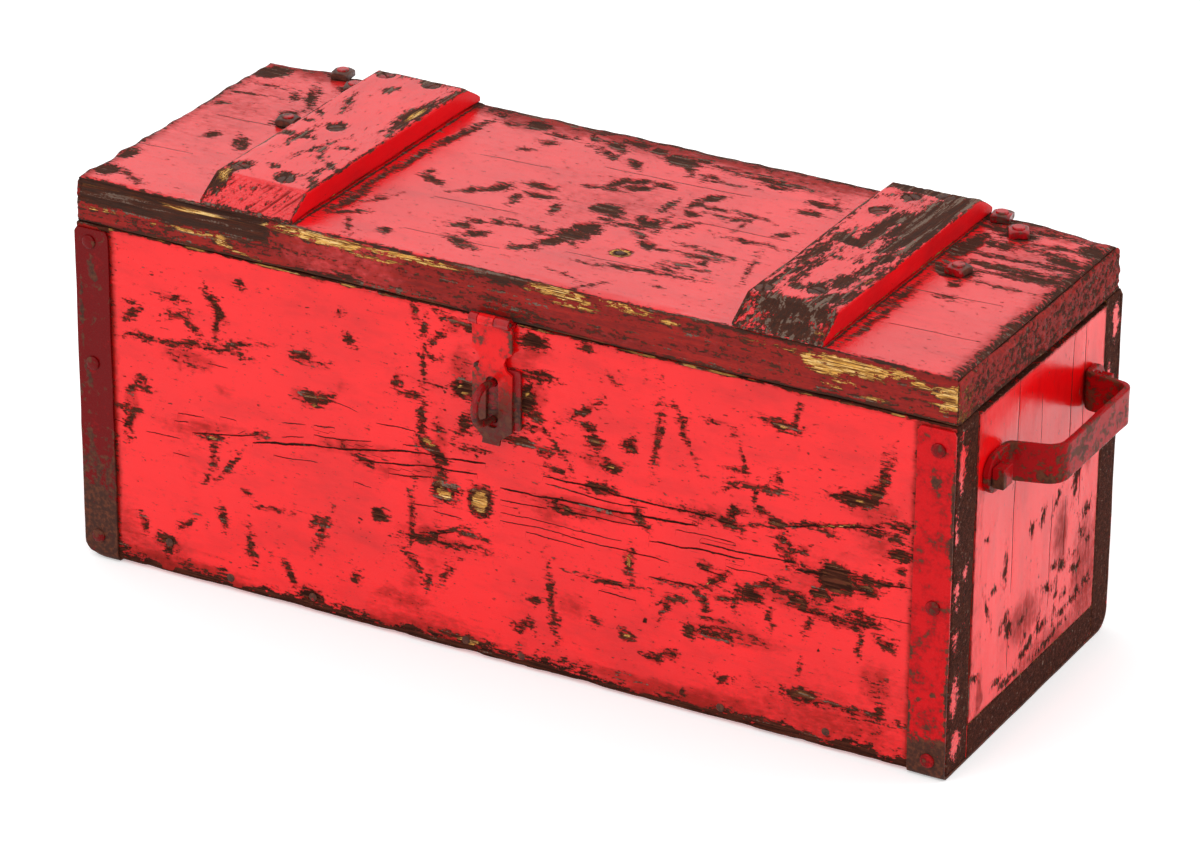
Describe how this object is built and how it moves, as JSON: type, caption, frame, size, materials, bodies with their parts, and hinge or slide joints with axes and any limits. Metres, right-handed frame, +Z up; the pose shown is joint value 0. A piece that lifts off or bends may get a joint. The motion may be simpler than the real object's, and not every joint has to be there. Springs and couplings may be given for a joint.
{
  "type": "tool chest",
  "caption": "Small red painted wooden tool chest with a flush hinged lid, lid battens, a hasp and staple, iron end handles and corner straps.",
  "frame": {"origin": "on the floor under the middle of the whole chest, staple to hinge knuckles and handle to handle", "axes": "+X along the length, towards the right-hand handle seen from the front; the front faces -Y; +Z up"},
  "size_m": [0.79, 0.3173, 0.3243],
  "materials": {
    "painted_wood": "worn glossy red enamel on pine",
    "worn_wood": "rough bare and stained pine",
    "painted_iron": "red enamel worn to dark iron",
    "rusty_iron": "dark rusty iron with paint remains"
  },
  "bodies": {
    "carcass": {"front_board": "painted_wood", "back_board": "painted_wood", "bottom_board": "worn_wood", "end_board_left": "painted_wood", "corner_strap_left": "painted_iron", "strap_nail_left_1": "rusty_iron", "strap_nail_left_2": "rusty_iron", "strap_nail_left_3": "rusty_iron", "handle_left": "painted_iron", "handle_bolt_left_front": "rusty_iron", "handle_nut_left_front": "rusty_iron", "handle_bolt_left_back": "rusty_iron", "handle_nut_left_back": "rusty_iron", "hinge_body_leaf_left": "rusty_iron", "hinge_pin_left": "rusty_iron", "end_board_right": "painted_wood", "corner_strap_right": "painted_iron", "strap_nail_right_1": "rusty_iron", "strap_nail_right_2": "rusty_iron", "strap_nail_right_3": "rusty_iron", "handle_right": "painted_iron", "handle_bolt_right_front": "rusty_iron", "handle_nut_right_front": "rusty_iron", "handle_bolt_right_back": "rusty_iron", "handle_nut_right_back": "rusty_iron", "hinge_body_leaf_right": "rusty_iron", "hinge_pin_right": "rusty_iron", "staple_plate": "painted_iron", "staple_loop": "painted_iron"},
    "lid": {"lid_board": "painted_wood", "batten_left": "painted_wood", "batten_screw_left_1": "rusty_iron", "batten_screw_left_2": "rusty_iron", "batten_screw_left_3": "rusty_iron", "batten_screw_left_4": "rusty_iron", "batten_screw_left_5": "rusty_iron", "hinge_lid_leaf_left": "rusty_iron", "hinge_bolt_left_1": "rusty_iron", "hinge_nut_left_1": "painted_iron", "hinge_bolt_left_2": "rusty_iron", "hinge_nut_left_2": "painted_iron", "hinge_bolt_left_3": "rusty_iron", "hinge_nut_left_3": "painted_iron", "batten_right": "painted_wood", "batten_screw_right_1": "rusty_iron", "batten_screw_right_2": "rusty_iron", "batten_screw_right_3": "rusty_iron", "batten_screw_right_4": "rusty_iron", "batten_screw_right_5": "rusty_iron", "hinge_lid_leaf_right": "rusty_iron", "hinge_bolt_right_1": "rusty_iron", "hinge_nut_right_1": "painted_iron", "hinge_bolt_right_2": "rusty_iron", "hinge_nut_right_2": "painted_iron", "hinge_bolt_right_3": "rusty_iron", "hinge_nut_right_3": "painted_iron", "hasp_leaf": "painted_iron", "hasp_pin": "rusty_iron"},
    "hasp": {"hasp_plate": "painted_iron"}
  },
  "joints": [
    {"name": "lid_hinge", "type": "hinge", "parent": "carcass", "child": "lid", "pos_m": [0, 0.15165, 0.2633], "axis": [-1, 0, 0], "range_deg": [0, 190]},
    {"name": "hasp_swing", "type": "hinge", "parent": "lid", "child": "hasp", "pos_m": [-0.0028, -0.13285, 0.2721], "axis": [-1, 0, 0], "range_deg": [0, 190]}
  ]
}
